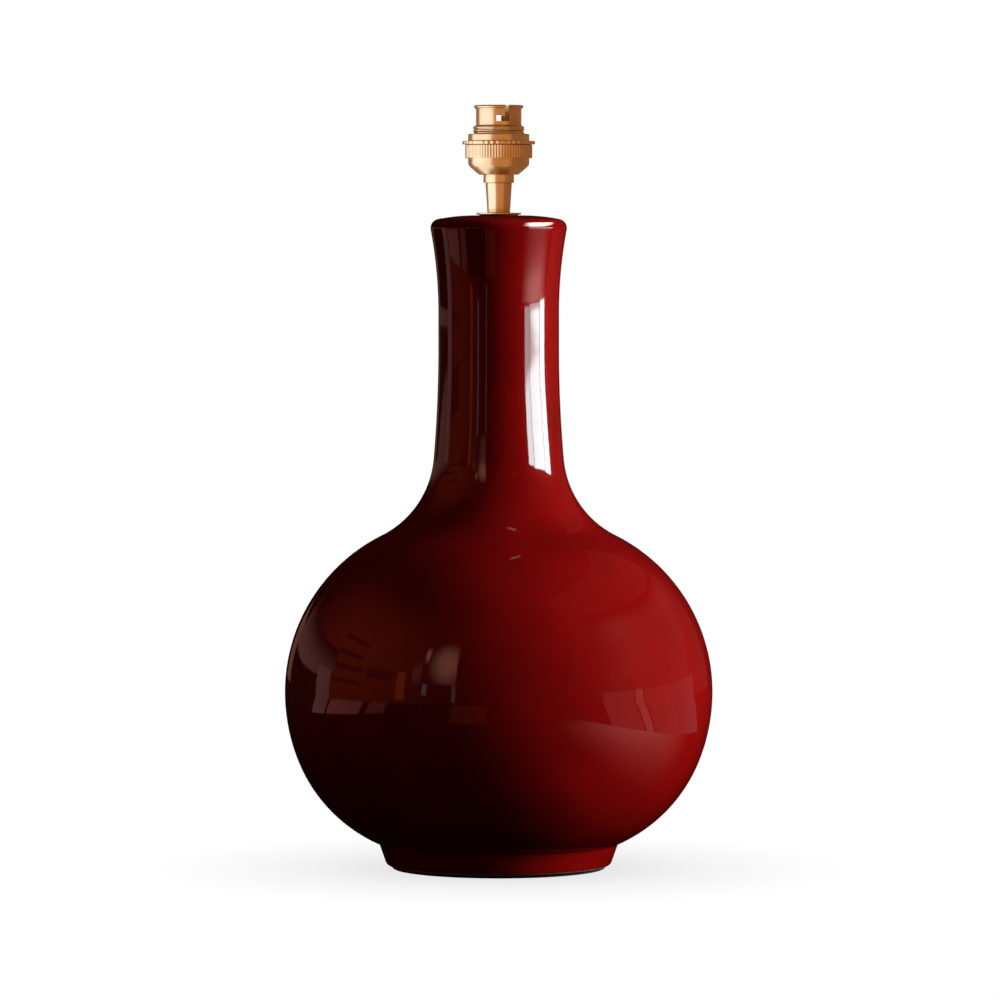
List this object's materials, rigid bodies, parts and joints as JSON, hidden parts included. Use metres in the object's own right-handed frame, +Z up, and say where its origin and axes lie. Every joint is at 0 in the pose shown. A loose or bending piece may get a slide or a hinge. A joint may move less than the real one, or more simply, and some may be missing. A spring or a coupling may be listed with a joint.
{
  "type": "table lamp base",
  "caption": "Round-bellied glazed ceramic bottle lamp base with a narrow neck and foot ring, a brass stem and a sprung bayonet lampholder with a shade ring.",
  "frame": {"origin": "on the table, under the middle of the foot", "axes": "+Z up the lamp's axis, -Y the front, +Y the back with the cord inlet, +X to the right"},
  "size_m": [0.23, 0.23, 0.41],
  "materials": {
    "red_glaze": "deep oxblood red, high gloss glaze",
    "felt": "pressed black felt",
    "rubber": "matt black rubber",
    "zinc_steel": "zinc plated steel",
    "nylon": "moulded black nylon",
    "fibre": "pressed red fibre",
    "satin_brass": "satin turned brass",
    "contact_brass": "bright brass",
    "porcelain": "white electrical porcelain",
    "spring_steel": "plated spring wire"
  },
  "bodies": {
    "lamp_base": {"ceramic_body": "red_glaze", "base_felt": "felt", "base_gasket": "rubber", "base_washer": "zinc_steel", "base_lock_washer": "zinc_steel", "base_nut": "zinc_steel", "threaded_rod": "zinc_steel", "rod_end_bushes": "nylon", "cord_bush": "nylon", "neck_gasket": "fibre", "neck_washer": "satin_brass", "brass_stem": "satin_brass", "holder_cap": "satin_brass", "cap_grub_screw": "zinc_steel", "earth_screw": "contact_brass", "holder_insulator": "porcelain", "contact_left": "contact_brass", "contact_right": "contact_brass", "terminal_screws": "contact_brass", "plunger_spring_left": "spring_steel", "plunger_spring_right": "spring_steel", "holder_skirt": "satin_brass", "union_ring": "satin_brass"},
    "plunger_left": {"plunger_left": "contact_brass"},
    "plunger_right": {"plunger_right": "contact_brass"},
    "shade_ring": {"shade_ring": "satin_brass"}
  },
  "joints": [
    {"name": "plunger_left_travel", "type": "slide", "parent": "lamp_base", "child": "plunger_left", "axis": [0, 0, 1], "range_m": [-0.004, 0], "stiffness_N_per_m": 500, "springref_m": 0.003, "deforming": ["plunger_spring_left"]},
    {"name": "plunger_right_travel", "type": "slide", "parent": "lamp_base", "child": "plunger_right", "axis": [0, 0, 1], "range_m": [-0.004, 0], "stiffness_N_per_m": 500, "springref_m": 0.003, "deforming": ["plunger_spring_right"]},
    {"name": "shade_ring_unscrew", "type": "slide", "parent": "lamp_base", "child": "shade_ring", "axis": [0, 0, 1], "range_m": [0, 0.03]}
  ]
}
